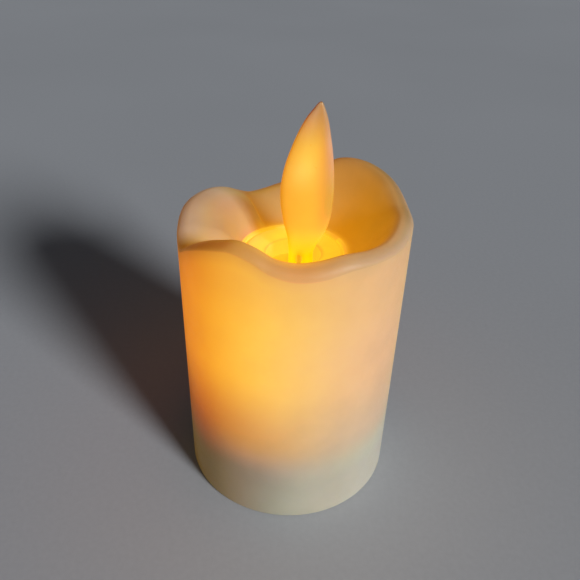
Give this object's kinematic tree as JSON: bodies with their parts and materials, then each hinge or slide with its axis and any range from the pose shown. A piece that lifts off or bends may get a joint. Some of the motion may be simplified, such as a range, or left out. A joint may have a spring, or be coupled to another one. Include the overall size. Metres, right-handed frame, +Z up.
{
  "type": "flameless led candle",
  "caption": "Battery candle with a wax-look shell, a melted rim, a swinging lit flame leaf, and a base with a slide switch and battery door.",
  "frame": {"origin": "centre of the base on the resting plane", "axes": "+Z up along the candle, -Y the front, +X to the right of the front"},
  "size_m": [0.04, 0.04, 0.0732],
  "materials": {
    "shell_wax": "wax-look moulding, satin, warm light behind it",
    "deck_amber": "light diffuser, lit from below",
    "flame_plastic": "translucent moulding, lit from below",
    "magnet_nickel": "nickel plated",
    "steel_wire": "drawn wire",
    "housing_plastic": "natural moulding",
    "bobbin_black": "moulded nylon",
    "coil_copper": "enamelled copper wire",
    "board_green": "solder mask",
    "chip_black": "moulded epoxy",
    "capacitor_sleeve": "shrink sleeve",
    "resistor_body": "lacquered",
    "led_lens": "clear warm epoxy, lit",
    "contact_metal": "nickel plated spring strip and tinned lead",
    "screw_steel": "zinc plated",
    "base_plastic": "ivory moulding",
    "door_plastic": "ivory moulding",
    "cell_can": "nickel plated can, brushed",
    "switch_black": "moulded",
    "knob_black": "moulded",
    "wire_red": "vinyl insulation",
    "wire_black": "vinyl insulation"
  },
  "bodies": {
    "candle": {"candle_shell": "shell_wax", "flame_deck": "deck_amber", "pivot_wire": "steel_wire", "flame_housing": "housing_plastic", "coil_bobbin": "bobbin_black", "coil_winding": "coil_copper", "circuit_board": "board_green", "driver_ic": "chip_black", "transistor": "chip_black", "capacitor": "capacitor_sleeve", "resistor": "resistor_body", "flame_led": "led_lens", "flame_led_anode": "contact_metal", "flame_led_cathode": "contact_metal", "glow_led": "led_lens", "glow_led_anode": "contact_metal", "glow_led_cathode": "contact_metal", "module_screw_1": "screw_steel", "module_screw_2": "screw_steel", "base_cup": "base_plastic", "coin_cell": "cell_can", "contact_positive": "contact_metal", "contact_negative": "contact_metal", "slide_switch": "switch_black", "wire_red": "wire_red", "wire_black": "wire_black"},
    "flame": {"flame_leaf": "flame_plastic", "flame_magnet": "magnet_nickel"},
    "battery_door": {"battery_door": "door_plastic"},
    "switch_knob": {"switch_knob": "knob_black"}
  },
  "joints": [
    {"name": "flame_swing", "type": "hinge", "parent": "candle", "child": "flame", "pos_m": [0.001, 0, 0.0461], "axis": [0, 1, 0], "range_deg": [-8, 8]},
    {"name": "door_twist", "type": "hinge", "parent": "candle", "child": "battery_door", "pos_m": [-0.0052, 0, 0.00155], "axis": [0, 0, 1], "range_deg": [0, 35]},
    {"name": "switch_slide", "type": "slide", "parent": "candle", "child": "switch_knob", "axis": [0, 1, 0], "range_m": [0, 0.002]}
  ]
}
